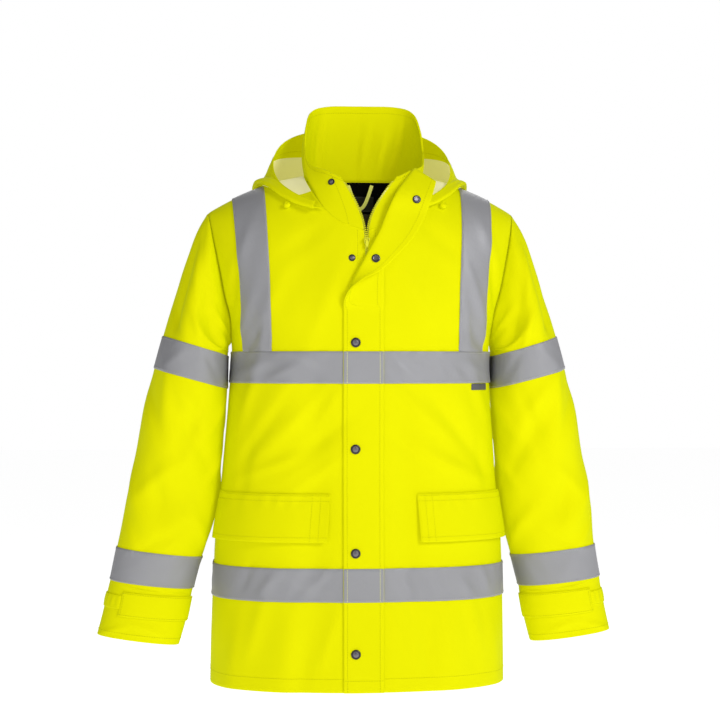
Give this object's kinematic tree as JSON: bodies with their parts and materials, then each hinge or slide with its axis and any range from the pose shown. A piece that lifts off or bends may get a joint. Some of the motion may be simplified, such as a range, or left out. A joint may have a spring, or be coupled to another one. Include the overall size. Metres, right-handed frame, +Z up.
{
  "type": "hi-vis work jacket",
  "caption": "Waterproof hip-length hi-vis work jacket, worn form, hollow, hood turned back, zip part open under a snapped storm flap with its top rolled back.",
  "frame": {"origin": "middle of the neck opening, level with the neck points of the shoulder seams, where the wearer's neck holds the jacket", "axes": "+Z up, front towards -Y, the wearer's right towards -X"},
  "size_m": [0.826, 0.31, 0.9301],
  "materials": {
    "shell": "coated woven polyester, fluorescent yellow",
    "reflective_tape": "silver retro-reflective tape, satin",
    "snap_metal": "gunmetal plated",
    "zip_metal": "yellow enamel",
    "zip_tape": "woven tape with moulded teeth",
    "black_lining": "matt woven lining",
    "mesh": "open knitted mesh",
    "grey_label": "woven label, bare",
    "hood_lining": "uncoated pale backing",
    "hanger_loop": "twill tape",
    "toggle": "moulded, matt"
  },
  "bodies": {
    "jacket": {"back": "shell", "front_right": "shell", "front_left": "shell", "sleeve_right": "shell", "sleeve_left": "shell", "collar": "shell", "hood": "shell", "hood_lining": "hood_lining", "yoke_lining": "black_lining", "mesh_lining": "mesh", "neck_label": "black_lining", "hanger_loop": "hanger_loop", "storm_flap": "shell", "zip_tape_right": "zip_tape", "zip_tape_left": "zip_tape", "zip_slider": "zip_metal", "snap_cap_1": "snap_metal", "snap_cap_2": "snap_metal", "snap_cap_3": "snap_metal", "snap_cap_4": "snap_metal", "snap_stud_lower": "snap_metal", "snap_stud_upper": "snap_metal", "snap_socket_lower": "snap_metal", "snap_socket_upper": "snap_metal", "pocket_flap_right": "shell", "pocket_flap_left": "shell", "chest_tape_right": "reflective_tape", "chest_tape_left": "reflective_tape", "chest_tape_flap": "reflective_tape", "chest_tape_back": "reflective_tape", "hem_tape_right": "reflective_tape", "hem_tape_left": "reflective_tape", "hem_tape_flap": "reflective_tape", "hem_tape_back": "reflective_tape", "brace_tape_front_right": "reflective_tape", "brace_tape_front_left": "reflective_tape", "brace_tape_back_right": "reflective_tape", "brace_tape_back_left": "reflective_tape", "upper_sleeve_tape_right": "reflective_tape", "upper_sleeve_tape_left": "reflective_tape", "lower_sleeve_tape_right": "reflective_tape", "lower_sleeve_tape_left": "reflective_tape", "cuff_tab_right": "shell", "cuff_tab_left": "shell", "cuff_strap_right": "shell", "cuff_strap_left": "shell", "side_label": "grey_label", "hood_toggle_right": "toggle", "hood_toggle_left": "toggle"},
    "pull": {"zip_pull": "zip_metal"}
  },
  "joints": [
    {"name": "zip_pull_hinge", "type": "hinge", "parent": "jacket", "child": "pull", "pos_m": [0, -0.13839, -0.107], "axis": [-1, 0, 0], "range_deg": [0, 150]}
  ]
}
